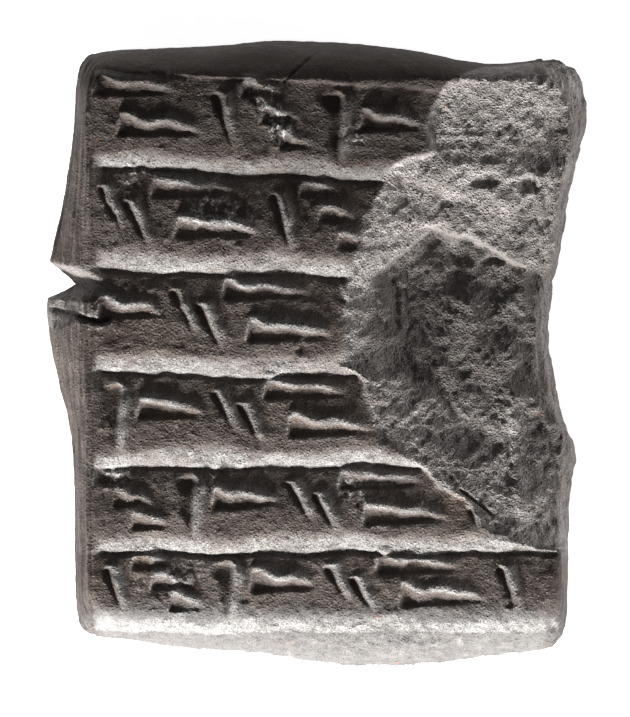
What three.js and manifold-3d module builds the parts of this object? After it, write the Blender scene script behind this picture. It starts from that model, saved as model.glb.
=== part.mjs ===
// A small clay writing tablet that lies on its back: one solid lump of clay, patted flat, ruled into six
// rows and pressed with a wedge-ended reed. Much of its right half has flaked off, and its left wall has
// lost a chip.
// Millimetres, +Z up out of the written face, +Y towards the first row, +X to the reader's right.
// The origin is at the bottom centre of the bounding box, on the surface that the tablet lies on.

import * as THREE from 'three';
import { ImprovedNoise } from 'three/addons/math/ImprovedNoise.js';
import { mergeVertices } from 'three/addons/utils/BufferGeometryUtils.js';
import Module from 'manifold-3d';

// ---- Driving dimensions -------------------------------------------------------------------------

// The four walls, at their widest level. Each stands at rest from the middle, and a swell bends it outwards
// (inwards, where out is below 0) around one place along it. The face begins to roll over at the lip.
const LEFT = { rest: 16.8, lip: 15.6, swells: [{ at: 3.5, spread: 7.5, out: 2.1 }] };
const RIGHT = {
  rest: 17.7,
  lip: 17.5,
  swells: [
    { at: 17, spread: 4, out: 1.2 },
    { at: 1.5, spread: 6.5, out: -1.5 },
    { at: -7, spread: 1.8, out: 0.75 },
  ],
};
const TOP = {
  rest: 21.2,
  lip: 18.7,
  swells: [{ at: -2, spread: 8, out: 0.6 }, { at: 12.5, spread: 4.5, out: -1 }],
};
const BOTTOM = {
  rest: 20.9,
  lip: 17.6,
  swells: [{ at: 4.5, spread: 7, out: 1.1 }, { at: -16, spread: 5, out: -0.9 }],
};
const LEAST_ROLL = 1.2; // the face's edge is never tighter than this

const HALF_WIDTH = 18; // nominal, to count places along the top and bottom walls
const HALF_LENGTH = 21; // nominal, to count places along the left and right walls
const HALF_THICKNESS = 7.2; // from the widest level to the face, and to the back
const CORNER_POWER = 18; // of the superellipse that rounds the corners in plan
const FACE_CROWN = 1; // the face's middle stands this far above its edges
const BACK_BELLY = 1.5; // the back's edges stand this far above the spot that it lies on
const RESTING_SPOT = 0.5; // the middle share of the back that is flat, so the tablet lies still

// The ruled rows, from the top one down. The first line drops to the right and the last ones are level.
const FIRST_LINE = { y: 19.6, slant: -0.06 };
const ROW_HEIGHTS = [6.9, 7.0, 7.2, 6.5, 6.0, 5.4];
const LEVEL_FROM = 4; // lines from this one on have no slant
const ROW_CREST = 0.78; // share of a row, from its top, where the clay stands highest
const ROW_SINK = 0.5; // how far the clay dips from the crest to a line
const MARGIN = { left: -15.2, right: 16.4 };
const LINE_CUT = { width: 0.7, depth: 0.45, bends: 8 };

// Groups of reed strokes, with their widths. They are loose strokes that spell nothing: none touches
// another, and every row lays them in this order, beginning further on in it than the row above.
// A stroke runs from its deep head to its thin tail, both given as shares of the group's width and of the
// row's height (from its top); the last figure is its size against a full stroke.
const GROUPS = [
  { width: 7.6, strokes: [[0, 0.24, 0.76, 0.2, 1.1], [0.22, 0.64, 0.98, 0.6, 1.2]] }, // staggered
  { width: 2.6, strokes: [[0.25, 0.2, 0.7, 0.74, 1.1]] }, // leaning
  {
    width: 5.2, // three steps
    strokes: [[0, 0.18, 0.5, 0.16, 0.8], [0.26, 0.44, 0.76, 0.42, 0.8], [0.5, 0.7, 0.98, 0.68, 0.8]],
  },
  { width: 2.8, strokes: [[0.5, 0.14, 0.46, 0.84, 1.3]] }, // upright
  { width: 5, strokes: [[0.06, 0.46, 0.94, 0.42, 1.2]] }, // level
  { width: 4, strokes: [[0.06, 0.2, 0.46, 0.62, 0.9], [0.5, 0.34, 0.9, 0.76, 1]] }, // a leaning pair
];
const ROW_SHIFT = 5; // how much further on in the order each row begins
const REED = { width: 1.3, depth: 0.5 };

// The flaked right half, from its top to its foot: how far from the middle the break starts, and its depth.
const BREAK = [
  { y: 19.7, from: 11.4, depth: 0.5 },
  { y: 17.4, from: 8.3, depth: 0.7 },
  { y: 13.6, from: 7.9, depth: 0.7 },
  { y: 12.6, from: 5.2, depth: 0.7 },
  { y: 9.2, from: 3.1, depth: 1 },
  { y: 6.2, from: 2.2, depth: 1.5 },
  { y: 4.6, from: 1.8, depth: 1.9 },
  { y: -0.9, from: 1.4, depth: 1.5 },
  { y: -5.5, from: 4, depth: 1.1 },
  { y: -8, from: 6.8, depth: 0.9 },
  { y: -13.4, from: 13.8, depth: 0.45 },
  { y: -14, from: 19, depth: 0 },
];
const BREAK_STEP = 2; // width of the slope from the face down into the break
const BREAK_FALL = { from: 13.5, slope: 0.22 }; // the break drops further towards the right wall
const BREAK_GRAIN = { size: 3.1, height: 0.45 }; // of the uneven floor that the flakes left

// The chip out of the left wall, steeper on its lower side, and the crack that starts below it.
const CHIP = { y: 4.7, above: 1.6, below: 0.9, reach: 2.2 };
const CRACK = { y: 2.7, length: 5, width: 0.35, depth: 1.2, slant: -8 };

const CLEARANCE = 1; // how far outside the clay the chip's and the crack's cutters start

const GRID = { x: 27, y: 32, z: 7 }; // facets along the lump's sides
const ROLL_START = 0.82; // share of the grid, from the middle, where the face begins to roll over
const TINY = 1e-6; // tells a point inside a wall from one on the edge of the face or the back
const WELD = 1e-4; // corners closer together than this are one corner

const CLAY = { color: 0x62564f, roughness: 0.95, metalness: 0 };

// ---- Form of the lump ---------------------------------------------------------------------------

const { clamp, degToRad, lerp, inverseLerp } = THREE.MathUtils;
const unevenness = new ImprovedNoise();

/** How far a wall stands from the middle, at one place along it. */
function wallAt(wall, place) {
  const bend = (swell) => swell.out * Math.exp(-(((place - swell.at) / swell.spread) ** 2));
  return wall.swells.reduce((reach, swell) => reach + bend(swell), wall.rest);
}

/** The same wall drawn in towards its lip: inset is 0 at the widest level and 1 where the face is flat. */
function reachOf(wall, place, inset) {
  const widest = wallAt(wall, place);
  return widest - inset * Math.max(LEAST_ROLL, widest - wall.lip);
}

/** The ruled lines' places along Y, from the first row's top down, at one place along X. */
function linesAt(x) {
  const lines = [FIRST_LINE.y];
  ROW_HEIGHTS.forEach((height) => lines.push(lines.at(-1) - height));
  return lines.map((y, n) => y + FIRST_LINE.slant * (x - MARGIN.left) * Math.max(0, 1 - n / LEVEL_FROM));
}

/** How far the rows sink the face: each rises slowly from its top line and falls quickly to its foot. */
function rowSink(x, y) {
  const lines = linesAt(x);
  const row = lines.findIndex((line) => line < y) - 1;
  if (row < 0 || x < MARGIN.left || x > MARGIN.right) return 0;
  const share = inverseLerp(lines[row], lines[row + 1], y);
  const fall = share < ROW_CREST ? 1 - share / ROW_CREST : (share - ROW_CREST) / (1 - ROW_CREST);
  return ROW_SINK * fall ** 2;
}

/** How far the break sinks the face at one place, 0 where the face is whole. */
function breakSink(x, y) {
  const next = BREAK.findIndex((station) => station.y < y);
  if (next < 1) return 0;
  const [above, below] = [BREAK[next - 1], BREAK[next]];
  const share = inverseLerp(above.y, below.y, y);
  const step = clamp((x - lerp(above.from, below.from, share)) / BREAK_STEP, 0, 1);
  const fall = BREAK_FALL.slope * Math.max(0, x - BREAK_FALL.from);
  const grain = BREAK_GRAIN.height * unevenness.noise(x / BREAK_GRAIN.size, y / BREAK_GRAIN.size, 0);
  return step * (lerp(above.depth, below.depth, share) + fall + grain);
}

/** How high the face stands above the widest level at one place. */
function faceHeight(x, y) {
  const crown = FACE_CROWN * (1 - (x / HALF_WIDTH) ** 2) * (1 - (y / HALF_LENGTH) ** 2);
  return HALF_THICKNESS + crown - Math.max(breakSink(x, y), rowSink(x, y));
}

/** How deep the back lies below the widest level: flat in the middle, and curving up to its edges. */
function backDepth(u, v) {
  const out = Math.max(Math.abs(u), Math.abs(v), RESTING_SPOT) - RESTING_SPOT;
  return HALF_THICKNESS - BACK_BELLY * (out / (1 - RESTING_SPOT)) ** 2;
}

/** Moves a point of a cube's surface, whose corners are at 1, to its place on the tablet. */
function placeOnTablet(point) {
  const ring = Math.max(Math.abs(point.x), Math.abs(point.y), TINY);
  const onWall = Math.abs(point.z) < 1 - TINY;
  const roll = clamp((ring - ROLL_START) / (1 - ROLL_START), 0, 1);
  const angle = onWall ? (point.z * Math.PI) / 4 : Math.sign(point.z) * (Math.PI / 2) * (1 - roll / 2);
  const inset = 1 - Math.cos(angle);
  const [a, b] = [point.x / ring, point.y / ring];
  const rounded = (Math.abs(a) ** CORNER_POWER + Math.abs(b) ** CORNER_POWER) ** (-1 / CORNER_POWER);
  const spread = Math.min(1, ring / ROLL_START) * rounded;
  const [u, v] = [a * spread, b * spread];
  const x = u * reachOf(u < 0 ? LEFT : RIGHT, v * HALF_LENGTH, inset);
  const y = v * reachOf(v < 0 ? BOTTOM : TOP, u * HALF_WIDTH, inset);
  const reach = angle > 0 ? faceHeight(x, y) : backDepth(u, v);
  point.set(x, y, HALF_THICKNESS + reach * Math.sin(angle));
}

function lumpGeometry() {
  const lump = mergeCorners(new THREE.BoxGeometry(2, 2, 2, GRID.x, GRID.y, GRID.z));
  return moveCorners(lump, placeOnTablet);
}

// ---- Cutters ------------------------------------------------------------------------------------

/** The face's height above the resting spot at one place. */
function surfaceAt(x, y) {
  return HALF_THICKNESS + faceHeight(x, y);
}

/** One stroke of the reed, a three-sided wedge that is deep at its head and runs out at its tail. */
function strokeCutter({ head, tail, size }) {
  // The cone's section has a corner 1 from its axis, and the side facing it is the root of 3 wide.
  const depth = REED.depth * size;
  const halfWidth = (REED.width * size) / Math.sqrt(3);
  const along = tail.clone().sub(head);
  const cutter = new THREE.ConeGeometry(1, 1, 3).translate(0, 0.5, 0);
  cutter.scale(halfWidth, along.length(), depth);
  const down = new THREE.Vector3(0, 0, -1);
  const across = new THREE.Vector3().crossVectors(along, down).normalize();
  const frame = new THREE.Matrix4().makeBasis(across, along.normalize(), down).setPosition(head);
  return cutter.applyMatrix4(frame);
}

/** The groups of one row with their left ends, from the left margin as far as the right one. */
function groupsIn(row) {
  const laid = [];
  let left = MARGIN.left;
  let group = GROUPS[(row * ROW_SHIFT) % GROUPS.length];
  while (left + group.width <= MARGIN.right) {
    laid.push({ left, ...group });
    left += group.width;
    group = GROUPS[(row * ROW_SHIFT + laid.length) % GROUPS.length];
  }
  return laid;
}

/** A point on the face: a share of a group's width across, and of its row's height below the row's top. */
function pointIn(group, row, across, below) {
  const x = group.left + across * group.width;
  const lines = linesAt(x);
  const y = lerp(lines[row], lines[row + 1], below);
  return new THREE.Vector3(x, y, surfaceAt(x, y));
}

/** Every stroke that the break has not taken, row by row. */
function pressedStrokes() {
  const strokes = [];
  ROW_HEIGHTS.forEach((_, row) => {
    groupsIn(row).forEach((group) => {
      group.strokes.forEach(([headAcross, headBelow, tailAcross, tailBelow, size]) => {
        const head = pointIn(group, row, headAcross, headBelow);
        const tail = pointIn(group, row, tailAcross, tailBelow);
        if (breakSink(head.x, head.y) === 0) strokes.push({ head, tail, size });
      });
    });
  });
  return strokes;
}

/** The groove of one ruled line, a three-sided rod bent to follow the face as far as the break. */
function lineCutter(row) {
  const rod = new THREE.CylinderGeometry(1, 1, 1, 3, LINE_CUT.bends).rotateZ(Math.PI / 2);
  let end = MARGIN.left;
  while (end < MARGIN.right && breakSink(end, linesAt(end)[row]) === 0) end += LINE_CUT.width;
  return moveCorners(mergeCorners(rod), (point) => {
    const x = lerp(MARGIN.left, end, point.x + 0.5);
    const y = linesAt(x)[row];
    point.set(x, y + (point.z * LINE_CUT.width) / Math.sqrt(3), surfaceAt(x, y) - point.y * LINE_CUT.depth);
  });
}

/** The clay lost from the left wall over its whole height, as a three-sided prism that stands upright. */
function chipCutter() {
  const wall = -wallAt(LEFT, CHIP.y);
  const pastTheFace = 3 * HALF_THICKNESS;
  const spread = 1 + CLEARANCE / CHIP.reach;
  const outline = new THREE.Shape();
  outline.moveTo(wall - CLEARANCE, CHIP.y + CHIP.above * spread);
  outline.lineTo(wall - CLEARANCE, CHIP.y - CHIP.below * spread);
  outline.lineTo(wall + CHIP.reach, CHIP.y);
  outline.closePath();
  const prism = new THREE.ExtrudeGeometry(outline, { depth: pastTheFace, bevelEnabled: false });
  return prism.translate(0, 0, -CLEARANCE);
}

/** The crack below the chip, a thin blade set into the face from the left wall. */
function crackCutter() {
  const start = -wallAt(LEFT, CRACK.y) - CLEARANCE;
  const blade = new THREE.BoxGeometry(CRACK.length, CRACK.width, 2 * CRACK.depth);
  blade.translate(CRACK.length / 2, 0, 0).rotateZ(degToRad(CRACK.slant));
  return blade.translate(start, CRACK.y, surfaceAt(MARGIN.left, CRACK.y));
}

// ---- Solids -------------------------------------------------------------------------------------

const wasm = await Module();
wasm.setup();

function mergeCorners(geometry) {
  const bare = geometry.clone();
  bare.deleteAttribute('normal');
  bare.deleteAttribute('uv');
  return mergeVertices(bare, WELD);
}

function moveCorners(geometry, move) {
  const positions = geometry.attributes.position;
  const point = new THREE.Vector3();
  for (let i = 0; i < positions.count; i++) {
    move(point.fromBufferAttribute(positions, i));
    positions.setXYZ(i, point.x, point.y, point.z);
  }
  return geometry;
}

function solidOf(geometry) {
  const merged = mergeCorners(geometry);
  const vertProperties = merged.attributes.position.array;
  const triVerts = new Uint32Array(merged.index.array);
  return new wasm.Manifold(new wasm.Mesh({ numProp: 3, vertProperties, triVerts }));
}

function geometryOf(solid) {
  const { vertProperties, triVerts } = solid.getMesh();
  const geometry = new THREE.BufferGeometry();
  geometry.setAttribute('position', new THREE.BufferAttribute(vertProperties, 3));
  return geometry.setIndex(new THREE.BufferAttribute(triVerts, 1));
}

/** The lump with everything cut out of it, moved so that the origin is under the middle of its box. */
function tabletGeometry() {
  const lines = ROW_HEIGHTS.slice(1).map((_, row) => lineCutter(row + 1));
  const cutters = [...lines, ...pressedStrokes().map(strokeCutter), chipCutter(), crackCutter()];
  const cut = cutters.reduce((clay, cutter) => clay.subtract(solidOf(cutter)), solidOf(lumpGeometry()));
  const geometry = geometryOf(cut);
  geometry.computeBoundingBox();
  const { min, max } = geometry.boundingBox;
  geometry.translate(-(min.x + max.x) / 2, -(min.y + max.y) / 2, -min.z);
  return geometry.toNonIndexed();
}

const tablet = new THREE.Mesh(tabletGeometry(), new THREE.MeshStandardMaterial(CLAY));
tablet.geometry.computeVertexNormals();
tablet.name = 'clay_tablet';

const model = new THREE.Group();
model.add(tablet);

export default model;
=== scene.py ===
"""Looks of a small clay writing tablet that lies on its back, ruled into six rows and pressed with a reed.

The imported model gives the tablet's box and its solid. This script replaces that solid with the finished
clay surface: ruled rows, pressed strokes with raised lips, the flaked right half, the notched left wall,
cracks and finger marks. Sizes are in millimetres until the mesh is made, and in metres from there on. X
runs to the reader's right, Y towards the first row and Z up out of the written face.
"""

from __future__ import annotations

import logging
from dataclasses import dataclass, field
from enum import Enum

import bpy
import numpy as np
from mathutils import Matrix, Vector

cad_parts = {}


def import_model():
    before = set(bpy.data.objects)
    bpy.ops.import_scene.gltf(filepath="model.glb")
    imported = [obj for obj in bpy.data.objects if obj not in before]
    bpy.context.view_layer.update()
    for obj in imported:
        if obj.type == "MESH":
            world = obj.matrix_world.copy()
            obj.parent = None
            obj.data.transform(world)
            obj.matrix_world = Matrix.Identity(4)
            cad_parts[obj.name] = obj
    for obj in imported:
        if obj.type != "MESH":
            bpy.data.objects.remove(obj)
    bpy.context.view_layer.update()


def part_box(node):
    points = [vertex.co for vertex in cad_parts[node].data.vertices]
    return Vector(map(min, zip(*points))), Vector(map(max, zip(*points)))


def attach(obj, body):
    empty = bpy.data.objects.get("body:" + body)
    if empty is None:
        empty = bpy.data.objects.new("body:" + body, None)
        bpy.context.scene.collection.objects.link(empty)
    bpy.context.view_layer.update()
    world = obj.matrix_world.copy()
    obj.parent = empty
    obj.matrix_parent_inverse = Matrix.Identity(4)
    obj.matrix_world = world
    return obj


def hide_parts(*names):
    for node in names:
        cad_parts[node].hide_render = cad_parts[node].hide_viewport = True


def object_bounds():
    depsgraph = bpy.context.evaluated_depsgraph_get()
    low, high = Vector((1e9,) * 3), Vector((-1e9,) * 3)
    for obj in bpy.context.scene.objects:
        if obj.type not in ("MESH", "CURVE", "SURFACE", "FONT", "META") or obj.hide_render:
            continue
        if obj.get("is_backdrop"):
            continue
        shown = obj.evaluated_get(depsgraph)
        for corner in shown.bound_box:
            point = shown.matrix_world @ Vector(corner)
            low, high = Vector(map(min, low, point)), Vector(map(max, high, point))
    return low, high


LOG = logging.getLogger("tablet")
MM = 0.001
TINY = 1e-6  # keeps a division at the very middle from failing


# ---- Helpers for whole arrays of points ----


def smooth_step(low: float, high: float, value: np.ndarray) -> np.ndarray:
    """Eases from 0 at low to 1 at high.

    Args:
        low: Where the result leaves 0.
        high: Where the result reaches 1.
        value: The values to ease.

    Returns:
        The eased values, from 0 to 1.
    """
    share = np.clip((value - low) / (high - low), 0, 1)
    return share * share * (3 - 2 * share)


def bell(distance: np.ndarray, spread: float) -> np.ndarray:
    """Gives 1 at no distance, dying away over the spread."""
    return np.exp(-((distance / spread) ** 2))


def corner_hash(x: np.ndarray, y: np.ndarray, z: np.ndarray, seed: int) -> np.ndarray:
    """Gives each whole-numbered corner a fixed, scattered 32-bit number.

    Args:
        x: Corner numbers along X.
        y: Corner numbers along Y.
        z: Corner numbers along Z.
        seed: Picks one of many unrelated patterns.

    Returns:
        One unsigned number for each corner.
    """
    mixed = x.astype(np.uint32) * np.uint32(374761393)
    mixed = mixed + y.astype(np.uint32) * np.uint32(668265263)
    mixed = mixed + z.astype(np.uint32) * np.uint32(2246822519)
    mixed = mixed + np.uint32(seed * 40503 + 977)
    mixed = (mixed ^ (mixed >> np.uint32(13))) * np.uint32(1274126177)
    mixed = (mixed ^ (mixed >> np.uint32(15))) * np.uint32(2654435761)
    return mixed ^ (mixed >> np.uint32(16))


def ripple(x: np.ndarray, y: np.ndarray, z: np.ndarray | float, size: float, seed: int) -> np.ndarray:
    """Smooth unevenness that changes over about one size, between about -1 and 1.

    Args:
        x: Places along X, in millimetres.
        y: Places along Y, in millimetres.
        z: Places along Z, in millimetres.
        size: Distance from one bump to the next, in millimetres.
        seed: Picks one of many unrelated patterns.

    Returns:
        The unevenness at each place.
    """
    x, y, z = np.broadcast_arrays(x / size, y / size, z / size)
    cell = [np.floor(axis).astype(np.int64) for axis in (x, y, z)]
    inside = [axis - corner for axis, corner in zip((x, y, z), cell)]
    eased = [t * t * t * (t * (t * 6 - 15) + 10) for t in inside]
    total = np.zeros(x.shape)
    for corner in np.ndindex(2, 2, 2):
        number = corner_hash(*(c + step for c, step in zip(cell, corner)), seed)
        weight = np.ones(x.shape)
        slope = np.zeros(x.shape)
        for axis, step in enumerate(corner):
            part = (number >> np.uint32(10 * axis)) & np.uint32(1023)
            slope += (part / 511.5 - 1) * (inside[axis] - step)
            weight *= eased[axis] if step else 1 - eased[axis]
        total += weight * slope
    return 1.3 * total


@dataclass(frozen=True)
class Fade:
    """Eases a finish or a shape in, from nothing at start to its whole height at full."""

    start: float
    full: float
    height: float = 1.0

    def at(self, value: np.ndarray) -> np.ndarray:
        """Gives the height reached at each value."""
        return self.height * smooth_step(self.start, self.full, value)


@dataclass(frozen=True)
class Wave:
    """Smooth unevenness of one size."""

    size: float
    height: float
    seed: int

    def at(self, x: np.ndarray, y: np.ndarray, z: np.ndarray | float = 0.0) -> np.ndarray:
        """Gives the height at each place, around 0."""
        return self.height * ripple(x, y, z, self.size, self.seed)


@dataclass(frozen=True)
class Grain:
    """Unevenness in several sizes at once, each half the size of the one before.

    The grain is finer along X, Y or Z by the three shares in finer.
    """

    size: float
    height: float
    layers: int = 4
    falloff: float = 0.55
    seed: int = 1
    ridged: bool = False
    finer: tuple[float, float, float] = (1.0, 1.0, 1.0)

    def at(self, x: np.ndarray, y: np.ndarray, z: np.ndarray | float = 0.0) -> np.ndarray:
        """Sums the layers.

        Args:
            x: Places along X, in millimetres.
            y: Places along Y, in millimetres.
            z: Places along Z, in millimetres.

        Returns:
            The height at each place, in millimetres, around 0.
        """
        x, y, z = (axis * finer for axis, finer in zip((x, y, z), self.finer))
        total = np.zeros(np.broadcast(x, y, z).shape)
        size, height = self.size, self.height
        for layer in range(self.layers):
            wave = ripple(x, y, z, size, self.seed + 17 * layer)
            total += height * ((0.5 - np.abs(wave) * 1.6) if self.ridged else wave)
            size, height = size / 2, height * self.falloff
        return total


# ---- Outline of the lump ----


@dataclass(frozen=True)
class Swell:
    """A place where a wall bends outwards, or inwards where out is below 0."""

    at: float
    spread: float
    out: float


@dataclass(frozen=True)
class Wall:
    """One of the four walls at its widest level, and the lip where the face begins to roll over."""

    rest: float
    lip: float
    swells: tuple[Swell, ...]
    least_roll: float = 1.2

    def widest(self, place: np.ndarray) -> np.ndarray:
        """How far the wall stands from the middle, at places along it."""
        return self.rest + sum(s.out * bell(place - s.at, s.spread) for s in self.swells)

    def reach(self, place: np.ndarray, inset: np.ndarray) -> np.ndarray:
        """Draws the wall in towards its lip.

        Args:
            place: Places along the wall.
            inset: 0 at the widest level, and 1 where the face is flat.

        Returns:
            How far the surface stands from the middle.
        """
        widest = self.widest(place)
        return widest - inset * np.maximum(self.least_roll, widest - self.lip)


@dataclass(frozen=True)
class Chip:
    """The clay lost from the left wall over its whole height, a notch that is steeper on its lower side."""

    y: float = 4.7
    above: float = 1.6
    below: float = 0.9
    reach: float = 2.2
    ragged: Wave = Wave(0.9, 0.25, 71)

    def depth(self, y: np.ndarray, z: np.ndarray) -> np.ndarray:
        """How far the notch eats into the wall.

        Args:
            y: Places along the wall.
            z: Levels above the resting surface.

        Returns:
            The depth of the notch in millimetres.
        """
        off = y - self.y
        notch = np.clip(1 - np.where(off > 0, off / self.above, -off / self.below), 0, 1)
        return (self.reach + self.ragged.at(y, z)) * notch


@dataclass(frozen=True)
class Lump:
    """The patted lump of clay: a pillow with straight rows of edges and a resting spot flattened by wear.
    """

    left: Wall = Wall(16.8, 15.6, (Swell(3.5, 7.5, 2.1),))
    right: Wall = Wall(17.7, 17.5, (Swell(17, 4, 1.2), Swell(1.5, 6.5, -1.5), Swell(-7, 1.8, 0.75)))
    top: Wall = Wall(21.2, 18.7, (Swell(-2, 8, 0.6), Swell(12.5, 4.5, -1)))
    bottom: Wall = Wall(20.9, 17.6, (Swell(4.5, 7, 1.1), Swell(-16, 5, -0.9)))
    chip: Chip = Chip()
    half_width: float = 18
    half_length: float = 21
    half_thickness: float = 7.2
    corner_power: float = 18
    face_crown: float = 1.0
    back_belly: float = 1.5
    resting_spot: float = 0.5
    roll_start: float = 0.82
    notched: Fade = Fade(0.86, 0.98)

    def crown(self, x: np.ndarray, y: np.ndarray) -> np.ndarray:
        """How far the plain face stands above the widest level."""
        swell = (1 - (x / self.half_width) ** 2) * (1 - (y / self.half_length) ** 2)
        return self.half_thickness + self.face_crown * swell

    def back(self, u: np.ndarray, v: np.ndarray) -> np.ndarray:
        """How deep the back lies below the widest level, at shares of the half width and half length."""
        out = np.maximum(np.maximum(np.abs(u), np.abs(v)), self.resting_spot) - self.resting_spot
        return self.half_thickness - self.back_belly * (out / (1 - self.resting_spot)) ** 2

    def plan(self, u: np.ndarray, v: np.ndarray, angle: np.ndarray) -> tuple[np.ndarray, np.ndarray]:
        """Finds a surface point's place in plan.

        Args:
            u: Share of the half width, -1 at the left wall.
            v: Share of the half length, -1 at the bottom wall.
            angle: Level around the wall's section, from the back at -pi/2 to the face at pi/2.

        Returns:
            X and Y in millimetres.
        """
        inset = 1 - np.cos(angle)
        along = v * self.half_length
        level = self.half_thickness * (1 + np.sin(angle))
        left = self.left.reach(along, inset)
        right = self.right.reach(along, inset)
        across = u * self.half_width
        notch = self.chip.depth(along, level) * self.notched.at(-u)
        x = u * np.where(u < 0, left, right) + notch
        y = v * np.where(v < 0, self.bottom.reach(across, inset), self.top.reach(across, inset))
        return x, y


# ---- Ruled rows and strokes ----


class Group(Enum):
    """Groups of loose reed strokes that spell nothing: none of them touches another.

    Each has its width and its strokes. A stroke is its head's place, its tail's place and its size. A place
    is a share of the group's width across, and of the row's height below the row's top.
    """

    STAGGERED = (7.6, ((0.0, 0.24, 0.76, 0.2, 1.1), (0.22, 0.64, 0.98, 0.6, 1.2)))
    LEANING = (2.6, ((0.25, 0.2, 0.7, 0.74, 1.1),))
    STEPS = (5.2, ((0.0, 0.18, 0.5, 0.16, 0.8), (0.26, 0.44, 0.76, 0.42, 0.8), (0.5, 0.7, 0.98, 0.68, 0.8)))
    UPRIGHT = (2.8, ((0.5, 0.14, 0.46, 0.84, 1.3),))
    LEVEL = (5.0, ((0.06, 0.46, 0.94, 0.42, 1.2),))
    LEANING_PAIR = (4.0, ((0.06, 0.2, 0.46, 0.62, 0.9), (0.5, 0.34, 0.9, 0.76, 1.0)))

    def __init__(self, width: float, strokes: tuple[tuple[float, ...], ...]) -> None:
        """Names the two halves of a group's value."""
        self.width = width
        self.strokes = strokes


@dataclass(frozen=True)
class Stroke:
    """One press of the reed, deep at its head and running out to its tail."""

    head: tuple[float, float]
    tail: tuple[float, float]
    size: float

    @property
    def length(self) -> float:
        """The distance from head to tail in millimetres."""
        return float(np.hypot(self.tail[0] - self.head[0], self.tail[1] - self.head[1]))


@dataclass(frozen=True)
class Writing:
    """The ruled rows and the loose strokes in them.

    Every row lays the groups in one fixed order, and each row begins further on in that order.
    """

    heights: tuple[float, ...] = (6.9, 7.0, 7.2, 6.5, 6.0, 5.4)
    row_shift: int = 5
    first_line: float = 19.6
    slant: float = -0.06
    level_from: int = 4
    left: float = -15.2
    right: float = 16.4
    margin_outside: float = 0.6  # how far past the margins the rows fade out
    margin_inside: float = 0.5
    right_outside: float = 0.8
    crest: float = 0.78
    sink: float = 0.62
    first_rise: float = 0.25
    last_rise: float = 0.7
    rise_power: float = 1.25
    fall_power: float = 1.5
    # a faint ledge below the last line, which also gives the foot a faint painted highlight
    foot_ledge: Fade = Fade(0.4, -0.4, 0.1)
    sway: Wave = Wave(4.6, 0.42, 5)
    jitter: Wave = Wave(1.1, 0.11, 6)
    crest_wave: Wave = Wave(3.2, 0.12, 8)
    crest_stretch: float = 0.3
    groove_wave: Wave = Wave(1.4, 0.12, 9)
    groove_width: float = 0.28
    groove_depth: float = 0.2
    groove_foot: float = 0.4  # share of the width that the lower side takes
    reed_depth: float = 0.24
    reed_body: float = 0.75
    reed_heel: float = 0.55
    heel_length: float = 0.9
    head_slope: float = 1.3
    tail_slope: float = 3.0
    uneven: float = 0.14
    uneven_turn: float = 12.9  # from one stroke to the next
    uneven_waves: float = 2.3  # for each millimetre along a stroke
    gentle: float = 0.3
    steep: float = 3.0
    post_left: float = 0.26
    post_right: float = 1.3
    lip: float = 0.21
    lip_out: float = 0.32
    lip_spread: float = 0.4
    near_lip: float = 0.1
    lip_start: Fade = Fade(-0.6, 0.1)

    def lines(self, x: np.ndarray) -> list[np.ndarray]:
        """The ruled lines' places along Y, from the first row's top to the last row's foot.

        Args:
            x: Places along X.

        Returns:
            One array of Y for each line.
        """
        tops = self.first_line - np.cumsum([0.0, *self.heights])
        run = x - self.left
        return [y + self.slant * run * max(0.0, 1 - n / self.level_from) for n, y in enumerate(tops)]

    def row_sink(self, x: np.ndarray, y: np.ndarray) -> tuple[np.ndarray, np.ndarray]:
        """How far the ruled rows sink the face.

        Each row rises gently from the line above it to its crest and falls more quickly to the next line.

        Args:
            x: Places along X.
            y: Places along Y.

        Returns:
            Depths in millimetres, and how much of the quick fall has been passed, from 0 to 1.
        """
        y = y + (self.sway.at(x, y) + self.jitter.at(x, y))
        lines = self.lines(x)
        sink = np.zeros(x.shape)
        ledge = np.zeros(x.shape)
        for n, (above, below) in enumerate(zip(lines[:-1], lines[1:])):
            share = (above - y) / (above - below)
            crest = self.crest + self.crest_wave.at(x, self.crest_stretch * y)
            rise = np.clip(1 - share / crest, 0, 1)
            fall = np.clip((share - crest) / (1 - crest), 0, 1)
            inside = (share >= 0) & (share < 1)
            first, last = n == 0, n == len(self.heights) - 1
            strength = self.first_rise if first else self.last_rise if last else 1.0
            shape = strength * rise**self.rise_power + (0.0 if last else 1.0) * fall**self.fall_power
            sink = np.where(inside, self.sink * shape, sink)
            ledge = np.where(inside, fall, ledge)
        for line in lines[1:-1]:
            off = y - line + self.groove_wave.at(x, line)
            wall = np.where(off > 0, off / self.groove_width, -off / (self.groove_foot * self.groove_width))
            sink += self.groove_depth * np.clip(1 - wall, 0, 1)
        ends = smooth_step(self.left - self.margin_outside, self.left + self.margin_inside, x)
        ends = ends * smooth_step(self.right + self.right_outside, self.right, x)
        return sink * ends, np.maximum(ledge * ends, self.foot_ledge.at(y - lines[-1]))

    def strokes(self) -> list[Stroke]:
        """Lays the groups out row by row, from the left margin as far as the right one.

        Returns:
            Every stroke, from the first row to the last.
        """
        laid = []
        order = list(Group)
        for row in range(len(self.heights)):
            start, turn = self.left, row * self.row_shift
            while start + (group := order[turn % len(order)]).width <= self.right:
                for head_across, head_below, tail_across, tail_below, size in group.strokes:
                    head = self.place(row, start + head_across * group.width, head_below)
                    tail = self.place(row, start + tail_across * group.width, tail_below)
                    laid.append(Stroke(head, tail, size))
                start += group.width
                turn += 1
        return laid

    def place(self, row: int, x: float, below: float) -> tuple[float, float]:
        """Finds a point of a row.

        Args:
            row: The row's number, from 0 at the top.
            x: The place along X.
            below: Share of the row's height, from its top.

        Returns:
            X and Y in millimetres.
        """
        lines = self.lines(np.array(x))
        return x, float(lines[row] + below * (lines[row + 1] - lines[row]))


# ---- The break ----


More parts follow.
